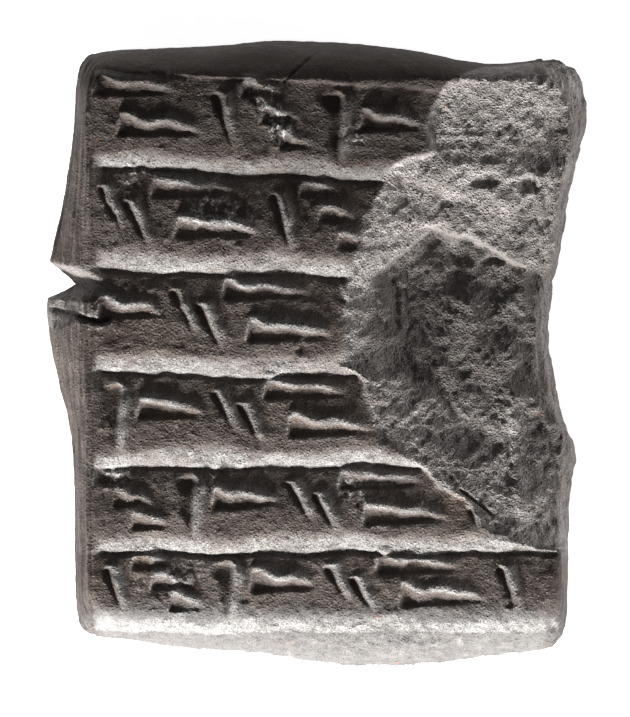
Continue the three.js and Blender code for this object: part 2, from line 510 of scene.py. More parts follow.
@dataclass(frozen=True)
class Station:
    """One level of the break: where it starts, how deep it gets, and how far it runs to get there."""

    y: float
    start: float
    depth: float
    run: float


@dataclass(frozen=True)
class Ledge:
    """A step in the floor of the break: it drops on the right of the line from one end to the other."""

    start: tuple[float, float]
    end: tuple[float, float]
    drop: float
    width: float = 0.5
    past_end: float = 1.2
    before_end: float = 0.3
    recovery: float = 2.9

    def sink(self, x: np.ndarray, y: np.ndarray) -> np.ndarray:
        """How far the step sinks the floor, dying away past the line's ends.

        Args:
            x: Places along X.
            y: Places along Y.

        Returns:
            Depths in millimetres.
        """
        run = np.array(self.end) - np.array(self.start)
        length = float(np.hypot(*run))
        along = ((x - self.start[0]) * run[0] + (y - self.start[1]) * run[1]) / length
        right = ((x - self.start[0]) * run[1] - (y - self.start[1]) * run[0]) / length
        ends = smooth_step(-self.past_end, self.before_end, along)
        ends = ends * smooth_step(length + self.past_end, length - self.before_end, along)
        drop = self.drop * smooth_step(-self.width, self.width, right)
        return drop * bell(np.clip(right, 0, None), self.recovery) * ends


@dataclass(frozen=True)
class Scoop:
    """A shallow dish that one flake left in the floor of the break."""

    x: float
    y: float
    across: float
    along: float
    depth: float

    def sink(self, x: np.ndarray, y: np.ndarray) -> np.ndarray:
        """How far the dish sinks the floor."""
        out = np.hypot((x - self.x) / self.across, (y - self.y) / self.along)
        return self.depth * np.clip(1 - out**2, 0, 1)


@dataclass(frozen=True)
class Break:
    """The flaked right half, from its top to its foot."""

    stations: tuple[Station, ...] = (
        Station(20.2, 15.0, 0.02, 0.4), Station(19.9, 11.6, 0.05, 0.4), Station(19.3, 9.9, 0.12, 0.4),
        Station(18.5, 8.7, 0.2, 0.4), Station(17.2, 7.9, 0.32, 0.4), Station(15.4, 7.4, 0.48, 0.4),
        Station(13.8, 7.8, 0.6, 0.8), Station(12.9, 5.0, 0.6, 1.2), Station(9.2, 3.1, 1.0, 3.0),
        Station(6.2, 2.2, 1.5, 4.0), Station(4.6, 1.8, 1.9, 4.4), Station(-0.9, 1.4, 1.5, 4.6),
        Station(-1.8, 2.9, 1.4, 5.0), Station(-5.5, 4.0, 1.1, 6.5), Station(-8.0, 6.8, 0.9, 7.0),
        Station(-10.0, 9.4, 0.7, 6.0), Station(-13.4, 13.8, 0.45, 3.0), Station(-14.0, 18.5, 0.1, 1.0),
    )
    ledges: tuple[Ledge, ...] = (
        Ledge((4.0, 5.2), (8.0, 8.6), 0.65, 0.1),
        Ledge((8.0, 8.6), (10.6, 7.9), 0.8, 0.08),
        Ledge((10.6, 7.9), (13.8, 6.2), 0.8, 0.08),
        Ledge((5.2, 13.0), (9.0, 10.8), 0.22, 0.6),
        Ledge((9.0, 10.8), (16.0, 9.6), 0.12, 0.6),
        Ledge((13.9, -11.0), (13.4, -3.0), -0.3, 0.3),
        Ledge((5.7, 5.0), (5.7, 2.2), 0.2, 0.15),
    )
    scoops: tuple[Scoop, ...] = (
        Scoop(13.2, 15.9, 5.6, 3.7, 0.34), Scoop(11.7, 12.0, 1.1, 0.7, 0.28),
        Scoop(14.7, 11.6, 1.0, 0.7, 0.3), Scoop(12.3, 6.3, 0.9, 0.35, 0.35),
        Scoop(8.4, 1.6, 2.6, 2.4, 0.16), Scoop(12.6, 2.6, 1.8, 2.2, 0.16),
        Scoop(14.6, -6.6, 1.5, 3.4, 0.2), Scoop(10.4, -6.2, 2.4, 1.8, 0.14),
        Scoop(15.4, 5.6, 1.2, 3.0, 0.25),
    )
    fall_from: float = 13.5
    fall_slope: float = 0.22
    step: float = 0.45
    brink: float = 0.2
    least_depth: float = 0.05
    past_all: float = 40.0  # where the break starts at levels that have none, beyond the clay
    calming: Fade = Fade(12.6, 14.4, 0.75)
    ragged: Grain = Grain(2.6, 0.5, 4, 0.6, 31)
    ragged_step: float = 9.0  # sets the wander along the border apart from that across it
    warp: float = 0.5
    warp_step: float = 5.0  # does the same for the ledges and scoops
    brink_rough: float = 0.3
    floor_rough: float = 0.7
    floor: Grain = Grain(3.2, 0.16, 3, 0.55, 41)
    crumbs: Grain = Grain(1.0, 0.1, 3, 0.7, 51, ridged=True)
    streaks: Grain = Grain(0.8, 0.045, 2, 0.75, 57, finer=(0.8, 0.2, 1.0))

    def profile(self, y: np.ndarray) -> tuple[np.ndarray, np.ndarray, np.ndarray]:
        """Finds where the break starts, its depth and its run, at places along Y."""
        rising = self.stations[::-1]
        levels = [s.y for s in rising]
        start = np.interp(y, levels, [s.start for s in rising], self.past_all, self.past_all)
        depth = np.interp(y, levels, [s.depth for s in rising])
        return start, depth, np.interp(y, levels, [s.run for s in rising])

    def sink(self, x: np.ndarray, y: np.ndarray) -> tuple[np.ndarray, np.ndarray]:
        """How far the break sinks the face.

        Args:
            x: Places along X.
            y: Places along Y.

        Returns:
            Depths in millimetres, and how fully the written face is lost, from 0 to 1.
        """
        calm = 1 - self.calming.at(y)
        start, depth, run = self.profile(y + calm * self.ragged.at(x + self.ragged_step, y))
        inside = x - start + calm * self.ragged.at(x, y)
        depth = depth + self.fall_slope * np.maximum(0, x - self.fall_from)
        warped_x = x + self.warp * self.ragged.at(y, x)
        warped_y = y + self.warp * self.ragged.at(x + self.warp_step, y)
        for feature in (*self.ledges, *self.scoops):
            depth = depth + feature.sink(warped_x, warped_y)
        crumbled = self.crumbs.at(x, y) + self.streaks.at(x - y, x + y)
        share = np.clip(inside / run, 0, 1)
        rough = self.floor.at(x, y) * (self.brink_rough + self.floor_rough * share) - crumbled
        depth = np.maximum(self.brink + (depth - self.brink) * share + rough, self.least_depth)
        return depth, smooth_step(0, self.step, inside)


# ---- Relief of the written face ----


@dataclass(frozen=True)
class Crack:
    """A crack that wanders through a few points."""

    points: tuple[tuple[float, float], ...]
    width: float
    depth: float
    wander: Wave = Wave(0.8, 0.12, 61)
    far: float = 9.0  # further off than any crack reaches

    def sink(self, x: np.ndarray, y: np.ndarray) -> np.ndarray:
        """How far the crack sinks the face.

        Args:
            x: Places along X.
            y: Places along Y.

        Returns:
            Depths in millimetres.
        """
        wander = self.wander.at(x, y)
        nearest = np.full(x.shape, self.far)
        for (x0, y0), (x1, y1) in zip(self.points[:-1], self.points[1:]):
            run = np.hypot(x1 - x0, y1 - y0)
            along = np.clip(((x - x0) * (x1 - x0) + (y - y0) * (y1 - y0)) / run**2, 0, 1)
            off = np.hypot(x - x0 - along * (x1 - x0), y - y0 - along * (y1 - y0))
            nearest = np.minimum(nearest, off + wander)
        return self.depth * np.clip(1 - np.abs(nearest) / self.width, 0, 1)


@dataclass(frozen=True)
class Crust:
    """A patch where the skin is crumbly and pale salts have come out."""

    x: float
    y: float
    spread: float
    strength: float = 1.0

    def at(self, x: np.ndarray, y: np.ndarray) -> np.ndarray:
        """How salty the patch makes each place."""
        return self.strength * bell(np.hypot(x - self.x, y - self.y), self.spread)


@dataclass
class Relief:
    """The written face as a fine map of heights over the plain pillow, in millimetres.

    The other maps run from 0 to 1: broken where the face is lost, salty under a crust, lighter with wear on
    the raised clay and with a painted highlight on the row ledges that face the raking lamp, and darkened
    by painted shade in the deepest of the break and below the notch. Hollow runs from -1 on a bump to 1 in
    a dip.
    """

    writing: Writing
    damage: Break
    cell: float = 0.06
    half: tuple[float, float] = (20.0, 23.0)
    cracks: tuple[Crack, ...] = (
        Crack(((-19.5, 3.3), (-17.2, 2.7), (-15.0, 2.1), (-14.4, 2.3)), 0.22, 0.9),
        Crack(((-2.2, 18.8), (-0.6, 20.2), (0.9, 21.6)), 0.12, 0.25),
        Crack(((9.9, -9.5), (11.0, -10.3), (12.1, -11.2)), 0.14, 0.4),
    )
    knock: Scoop = Scoop(-18.2, 3.9, 2.0, 2.3, 1.7)
    knock_wave: Wave = Wave(0.8, 0.5, 73)
    knock_bares: Fade = Fade(0.05, 0.5)
    # painted shade: the break's colour darkens where it is deeper than this, in millimetres
    shade_by_depth: Fade = Fade(0.85, 1.5)
    pats: Grain = Grain(6.5, 0.14, 2, 0.6, 81)
    skin: Grain = Grain(1.2, 0.05, 3, 0.7, 91)
    drags: Grain = Grain(0.4, 0.02, 2, 0.8, 93, finer=(0.2, 1.0, 1.0))
    specks: Wave = Wave(0.42, 1.0, 98)
    speck_height: Fade = Fade(0.35, 0.7, 0.07)
    crust: Grain = Grain(0.8, 0.12, 3, 0.6, 95)
    crusts: tuple[Crust, ...] = (
        Crust(9.9, 15.2, 1.5, 0.5), Crust(-3.7, 17.6, 1.3, 0.55), Crust(-7.8, 9.8, 1.0),
        Crust(-5.8, 9.6, 1.2), Crust(-2.6, 15.4, 1.0), Crust(2.6, 15.0, 0.8), Crust(-12.6, 12.4, 0.9),
        Crust(-9.2, -15.6, 1.1), Crust(2.4, -9.6, 0.8), Crust(-13.6, -8.8, 1.2, 0.6),
        Crust(-12.2, -16.0, 0.8, 0.6),
    )
    patches: Wave = Wave(3.0, 1.0, 97)
    patch_crust: Fade = Fade(0.1, 0.5, 0.7)
    salt_crust: float = 2.2
    ledge_crust: float = 0.7
    foot_crust: Fade = Fade(-16.6, -18.4, 0.9)
    # painted highlight: lightens each row's lower slope, the ledge that faces the raking lamp
    ledge_highlight: Fade = Fade(0.0, 0.6, 1.3)
    lip_wear: float = 5.0
    skin_wear: float = 4.0
    lip_wave: Wave = Wave(1.6, 0.9, 99)
    drag: Wave = Wave(1.9, 0.16, 7)
    stroke_reach: float = 1.6
    hollow_cells: int = 9
    hollow_depth: float = 0.35
    height: np.ndarray = field(init=False)
    broken: np.ndarray = field(init=False)
    hollow: np.ndarray = field(init=False)
    salty: np.ndarray = field(init=False)
    wear_and_highlight: np.ndarray = field(init=False)
    painted_deep_shade: np.ndarray = field(init=False)

    def __post_init__(self) -> None:
        """Works the maps out."""
        xs = np.arange(-self.half[0], self.half[0], self.cell)
        ys = np.arange(-self.half[1], self.half[1], self.cell)
        x, y = np.meshgrid(xs, ys, indexing="ij")
        cut, lip = self.pressed(x, y)
        sink, ledge = self.writing.row_sink(x, y)
        # lighter skin: real wear on the lips and at random, plus a painted highlight on the lamp-facing
        # ledges
        wear = self.ledge_highlight.at(ledge) + self.lip_wear * lip + self.skin.at(x, y) * self.skin_wear
        self.wear_and_highlight = np.clip(wear, 0, 1)
        self.salty = np.clip(sum(crust.at(x, y) for crust in self.crusts), 0, 1)
        crusty = self.patch_crust.at(self.patches.at(x, y)) + self.salt_crust * self.salty
        crusty = crusty + self.ledge_crust * ledge * (1 - ledge) * 4 + self.foot_crust.at(y)
        lip = lip * (1 + self.lip_wave.at(x, y))
        surface = soften(lip - sink - cut, 1) + self.pats.at(x, y) + self.skin.at(x, y)
        specks = self.speck_height.at(self.specks.at(x, y))
        surface = surface + crusty * self.crust.at(x, y) + self.drags.at(x, y) + specks
        depth, self.broken = self.damage.sink(x, y)
        surface = surface * (1 - self.broken) - depth * self.broken
        knocked = self.knock.sink(x, y) * (1 + self.knock_wave.at(x, y))
        surface = surface - knocked
        lost = self.knock_bares.at(knocked)
        self.broken = np.maximum(self.broken, lost)
        # painted shade: the deepest of the break and the knocked spot below the notch are darkened
        self.painted_deep_shade = np.maximum(self.shade_by_depth.at(depth), lost)
        for crack in self.cracks:
            surface = surface - crack.sink(x, y)
        self.height = surface
        self.hollow = np.clip((soften(surface, self.hollow_cells) - surface) / self.hollow_depth, -1, 1)

    def pressed(self, x: np.ndarray, y: np.ndarray) -> tuple[np.ndarray, np.ndarray]:
        """Presses every stroke into the face.

        Args:
            x: The map's places along X.
            y: The map's places along Y.

        Returns:
            How deep the strokes cut, and how high the clay stands up beside them.
        """
        cut = np.zeros(x.shape)
        lip = np.zeros(x.shape)
        bend = self.drag.at(x, y)
        for number, stroke in enumerate(self.writing.strokes()):
            low = np.minimum(stroke.head, stroke.tail) - self.stroke_reach
            high = np.maximum(stroke.head, stroke.tail) + self.stroke_reach
            i0, i1 = np.searchsorted(x[:, 0], (low[0], high[0]))
            j0, j1 = np.searchsorted(y[0], (low[1], high[1]))
            window = (slice(i0, i1), slice(j0, j1))
            depth, rim = self.press(stroke, number, x[window], y[window], bend[window])
            cut[window] = np.maximum(cut[window], depth)
            lip[window] = np.maximum(lip[window], rim)
        return cut, lip * (cut == 0)

    def press(
        self, stroke: Stroke, number: int, x: np.ndarray, y: np.ndarray, bend: np.ndarray
    ) -> tuple[np.ndarray, np.ndarray]:
        """Presses one stroke.

        Args:
            stroke: The stroke.
            number: Its place in the order of writing, which sets its small irregularities.
            x: Places along X near it.
            y: Places along Y near it.
            bend: How far the clay has dragged it sideways at each place.

        Returns:
            How deep it cuts, and how high its lips stand.
        """
        w = self.writing
        along_x = (stroke.tail[0] - stroke.head[0]) / stroke.length
        along_y = (stroke.tail[1] - stroke.head[1]) / stroke.length
        along = (x - stroke.head[0]) * along_x + (y - stroke.head[1]) * along_y
        across = (y - stroke.head[1]) * along_x - (x - stroke.head[0]) * along_y + bend
        share = np.clip(along / stroke.length, 0, 1)
        uneven = 1 + w.uneven * np.sin(w.uneven_turn * number + w.uneven_waves * along)
        profile = w.reed_body * (1 - share**3) + w.reed_heel * bell(along, w.heel_length)
        depth = w.reed_depth * stroke.size * uneven * profile
        depth = depth - w.head_slope * np.clip(-along, 0, None)
        depth = depth - w.tail_slope * np.clip(along - stroke.length, 0, None)
        level = abs(along_x)
        upper = w.gentle * level + w.post_right * (1 - level)
        lower = w.steep * level + w.post_left * (1 - level)
        wall = np.where(across > 0, across * upper, -across * lower)
        cut = np.clip(depth - wall, 0, None)
        beyond = np.clip(wall - depth, 0, None) / np.where(across > 0, upper, lower)
        far_side = np.where(across > 0, 1.0, w.near_lip)
        rim = w.lip * stroke.size * bell(beyond - w.lip_out, w.lip_spread) * far_side
        rim = rim * w.lip_start.at(along) * (1 - share**4)
        return cut, rim

    def sample(self, layer: np.ndarray, x: np.ndarray, y: np.ndarray) -> np.ndarray:
        """Reads one of the maps between its cells.

        Args:
            layer: The map.
            x: Places along X.
            y: Places along Y.

        Returns:
            The map's value at each place.
        """
        i = np.clip((x + self.half[0]) / self.cell, 0, layer.shape[0] - 1.001)
        j = np.clip((y + self.half[1]) / self.cell, 0, layer.shape[1] - 1.001)
        i0, j0 = i.astype(int), j.astype(int)
        a, b = i - i0, j - j0
        near = layer[i0, j0] * (1 - b) + layer[i0, j0 + 1] * b
        far = layer[i0 + 1, j0] * (1 - b) + layer[i0 + 1, j0 + 1] * b
        return near * (1 - a) + far * a


def soften(layer: np.ndarray, cells: int) -> np.ndarray:
    """Averages a map over a square of cells around each one.

    Args:
        layer: The map.
        cells: How many cells to reach on each side.

    Returns:
        The softened map.
    """
    for axis in (0, 1):
        padded = np.concatenate([np.repeat(layer.take([0], axis), cells + 1, axis), layer,
                                 np.repeat(layer.take([-1], axis), cells, axis)], axis)
        total = np.cumsum(padded, axis)
        count = layer.shape[axis]
        ahead = total.take(range(2 * cells + 1, 2 * cells + 1 + count), axis)
        layer = (ahead - total.take(range(count), axis)) / (2 * cells + 1)
    return layer


# ---- Finishes ----


class NodeKit:
    """Adds nodes to one material, left to right."""

    def __init__(self, name: str) -> None:
        """Starts a new material with only its shader and output."""
        self.material = bpy.data.materials.new(name)
        self.material.use_nodes = True
        self.tree = self.material.node_tree
        self.shader = self.tree.nodes["Principled BSDF"]

    def add(self, kind: str, inputs: dict[str, object] | None = None, **settings: object) -> bpy.types.Node:
        """Adds a node.

        Args:
            kind: The node's type, without its ShaderNode prefix.
            inputs: Values or sockets for its inputs, by name or number.
            **settings: The node's own settings.

        Returns:
            The new node.
        """
        node = self.tree.nodes.new("ShaderNode" + kind)
        for name, value in settings.items():
            setattr(node, name, value)
        for name, value in (inputs or {}).items():
            self.join(node.inputs[name], value)
        return node

    def join(self, socket: bpy.types.NodeSocket, value: object) -> None:
        """Sets a socket's value, or links it to another socket."""
        if isinstance(value, bpy.types.NodeSocket):
            self.tree.links.new(value, socket)
        else:
            socket.default_value = value

    def attribute(self, name: str) -> bpy.types.NodeSocket:
        """Reads one of the mesh's own values, such as how broken it is."""
        return self.add("Attribute", attribute_name=name).outputs["Fac"]

    def place(self) -> bpy.types.NodeSocket:
        """Gives the place on the object, in metres."""
        return self.add("TexCoord").outputs["Object"]

    def noise(
        self, size: float, detail: float = 2.0, offset: float = 0.0, stretch: float = 1
    ) -> bpy.types.NodeSocket:
        """Adds noise of about one size.

        Args:
            size: Distance between its spots, in millimetres.
            detail: How many finer layers it has.
            offset: Moves it, so that two of one size differ.
            stretch: How many times longer its spots are along Y.

        Returns:
            The noise, around 0.5.
        """
        inputs = {"Vector": self.place(), "Location": (offset, 2 * offset, -offset)}
        moved = self.add("Mapping", {**inputs, "Scale": (1, 1 / stretch, 1)})
        inputs = {"Vector": moved.outputs[0], "Scale": 1 / (size * MM), "Detail": detail, "Roughness": 0.7}
        return self.add("TexNoise", inputs).outputs["Fac"]

    def math(self, operation: str, first: object, second: object = 0.0) -> bpy.types.NodeSocket:
        """Adds, multiplies or compares two values."""
        return self.add("Math", {0: first, 1: second}, operation=operation).outputs[0]

    def range(
        self, value: object, low: float, high: float, to_low: float = 0, to_high: float = 1
    ) -> bpy.types.NodeSocket:
        """Stretches a value from one range to another.

        Args:
            value: The socket to stretch.
            low: The value that gives to_low.
            high: The value that gives to_high.
            to_low: The result at low.
            to_high: The result at high.

        Returns:
            The stretched value's socket.
        """
        inputs = {"Value": value, "From Min": low, "From Max": high, "To Min": to_low, "To Max": to_high}
        return self.add("MapRange", inputs, interpolation_type="SMOOTHSTEP").outputs["Result"]

    def mix(self, share: object, first: object, second: object) -> bpy.types.NodeSocket:
        """Blends two colours by a share."""
        node = self.add("Mix", data_type="RGBA")
        for socket, value in zip((node.inputs[0], node.inputs[6], node.inputs[7]), (share, first, second)):
            self.join(socket, value)
        return node.outputs[2]


def rgb(red: float, green: float, blue: float) -> tuple[float, float, float, float]:
    """Packs a linear colour for a socket."""
    return (red, green, blue, 1.0)


@dataclass(frozen=True)
class AgedClay:
    """Dark clay skin over grey broken clay, lighter with wear from handling, with pale salts and a few
    rusty specks.

    Its colour also holds painted light: a painted highlight on the row ledges that face the raking lamp,
    and painted shade towards the top and in the deepest of the break and the notch.
    """

    skin: tuple[float, ...] = rgb(0.126, 0.102, 0.091)
    # pale skin colour for wear, also used as a painted highlight on the ledges that face the raking lamp
    skin_worn_and_lit: tuple[float, ...] = rgb(0.28, 0.274, 0.266)
    warm: tuple[float, ...] = rgb(0.17, 0.125, 0.095)
    # dark earth colour for hollows and specks, also used as painted shade towards the top
    soil_and_shade: tuple[float, ...] = rgb(0.04, 0.031, 0.027)
    core: tuple[float, ...] = rgb(0.36, 0.335, 0.32)
    core_dark: tuple[float, ...] = rgb(0.13, 0.117, 0.109)
    dust: tuple[float, ...] = rgb(0.112, 0.109, 0.106)
    salt: tuple[float, ...] = rgb(0.6, 0.6, 0.59)
    rust: tuple[float, ...] = rgb(0.30, 0.075, 0.02)

    def material(self) -> bpy.types.Material:
        """Builds the clay.

        Returns:
            The finished material.
        """
        kit = NodeKit("aged_clay")
        broken = kit.attribute("broken")
        hollow = kit.attribute("hollow")
        salty = kit.attribute("salty")
        # lighter skin: real wear on bumps, lips and at random, plus a painted highlight on the lamp-facing
        # ledges
        wear_and_highlight_sum = kit.math("ADD", kit.range(hollow, 0.0, -0.5, 0, 0.7), kit.attribute("wear_and_highlight"))
        wear_and_highlight_share = kit.math("MULTIPLY", wear_and_highlight_sum, kit.range(kit.noise(0.5, 5, 0.3), 0.32, 0.6, 0.25, 1))
        wear_and_highlight_share = kit.math("MULTIPLY", wear_and_highlight_share, kit.range(kit.noise(3.0, 2, 0.35), 0.36, 0.56, 0.6, 1))
        colour = kit.mix(kit.range(kit.noise(5.5, 3, 0.7), 0.48, 0.72, 0, 0.55), self.skin, self.warm)
        colour = kit.mix(kit.attribute("dusty"), colour, self.dust)
        colour = kit.mix(wear_and_highlight_share, colour, self.skin_worn_and_lit)
        # painted shade: the upper rows and the top edge, furthest from the raking lamp, are darkened
        colour = kit.mix(kit.math("MULTIPLY", kit.attribute("painted_top_shade"), 0.66), colour, self.soil_and_shade)
        fibres = kit.range(kit.noise(0.32, 3, 0.8, 16), 0.44, 0.6, 0.9, 0.1)
        colour = kit.mix(kit.math("MULTIPLY", kit.attribute("fibrous"), fibres), colour, self.soil_and_shade)
        core = kit.mix(kit.range(kit.noise(1.6, 6, 0.1), 0.4, 0.62, 0.45, 1), self.core_dark, self.core)
        # painted shade: the deepest of the break, the knocked spot and the notch take the dark core colour
        core = kit.mix(kit.math("MULTIPLY", kit.attribute("painted_deep_shade"), 0.75), core, self.core_dark)
        colour = kit.mix(broken, colour, core)
        sunk = kit.math("MULTIPLY", kit.range(hollow, 0.15, 0.9, 0, 0.6), kit.range(broken, 0, 1, 1, 0.4))
        colour = kit.mix(sunk, colour, self.soil_and_shade)
        grains = kit.range(kit.noise(0.11, 2, 0.5), 0.4, 0.58, 0.6, 0)
        colour = kit.mix(grains, colour, self.soil_and_shade)
        crust = kit.math("MULTIPLY", salty, kit.range(kit.noise(0.4, 5, 0.9), 0.52, 0.62, 0, 0.8))
        colour = kit.mix(crust, colour, self.salt)
        fleck = kit.add("TexVoronoi", {"Vector": kit.place(), "Scale": 1 / (2.6 * MM)}).outputs["Distance"]
        colour = kit.mix(kit.range(fleck, 0.06, 0.04, 0, 0.4), colour, self.rust)
        kit.join(kit.shader.inputs["Base Color"], colour)
        kit.join(kit.shader.inputs["Roughness"], kit.range(kit.noise(0.4, 3, 0.2), 0.2, 0.8, 0.8, 0.97))
        kit.shader.inputs["Specular IOR Level"].default_value = 0.3
        coarse = kit.add("Bump", {"Strength": 1.0, "Distance": 0.08 * MM, "Height": kit.noise(0.5, 3, 0.4)})
        cells = kit.add("TexVoronoi", {"Vector": kit.place(), "Scale": 1 / (0.26 * MM)}).outputs["Distance"]
        sand = kit.math("ADD", kit.range(cells, 0.42, 0.08, 0, 0.8), kit.noise(0.13, 1, 0.6))
        depth = kit.math("MULTIPLY", sand, kit.range(broken, 0, 1, 0.6, 1.0))
        fine = kit.add("Bump", {"Strength": 1.0, "Distance": 0.085 * MM, "Height": depth,
                                "Normal": coarse.outputs[0]})
        kit.join(kit.shader.inputs["Normal"], fine.outputs[0])
        return kit.material


@dataclass(frozen=True)
class PaleFloor:
    """A plain white surface that glows a little, as a light table does."""

    colour: tuple[float, ...] = rgb(0.88, 0.88, 0.88)
    glow: float = 0.92

    def material(self) -> bpy.types.Material:
        """Builds the floor's material."""
        kit = NodeKit("pale_floor")
        kit.shader.inputs["Base Color"].default_value = self.colour
        kit.shader.inputs["Roughness"].default_value = 0.9
        kit.shader.inputs["Emission Color"].default_value = rgb(1.0, 1.0, 1.0)
        kit.shader.inputs["Emission Strength"].default_value = self.glow
        return kit.material


# ---- The tablet ----


@dataclass(frozen=True)
class Zones:
    """Where on the tablet each change of surface begins, and where it is full, in millimetres.

    A border that follows a wandering line sways by its share of that line.
    """

    streaked: Fade = Fade(-15.2, -15.7)
    torn_side: Fade = Fade(14.5, 15.5)
    torn_above: Fade = Fade(-13.5, -12.0)
    rough_foot: Fade = Fade(-18.4, -19.4)
    pitted: Fade = Fade(0.0, 0.6)
    written: Fade = Fade(5.5, 7.5)
    face: Fade = Fade(8.6, 10.2)
    bare_level: Fade = Fade(3.5, 7.5)
    bare_foot: Fade = Fade(-14.5, -10.0)
    bare_foot_sway: float = 1.4
    bare_top: Fade = Fade(21.4, 19.6)
    bare_top_sway: float = 0.5
    notch: Fade = Fade(0.15, 0.6)
    notch_side: Fade = Fade(-14.5, -15.5)
    # lets the wear map, with its painted highlight, reach down the foot that faces the raking lamp
    wear_and_highlight_foot: Fade = Fade(-16.8, -17.8)
    left_fibres: Fade = Fade(-15.0, -15.6)
    right_fibres: Fade = Fade(15.4, 16.2, 0.6)
    # painted shade: darkens the upper rows and the top edge, furthest from the raking lamp
    painted_top_shade: Fade = Fade(6.0, 17.0)
    top_shade_slant: float = 0.25
    top_edge_shade: Fade = Fade(18.6, 19.6, 0.8)
    dusty: Fade = Fade(-16.8, -18.4)
    dusty_sway: float = 0.4


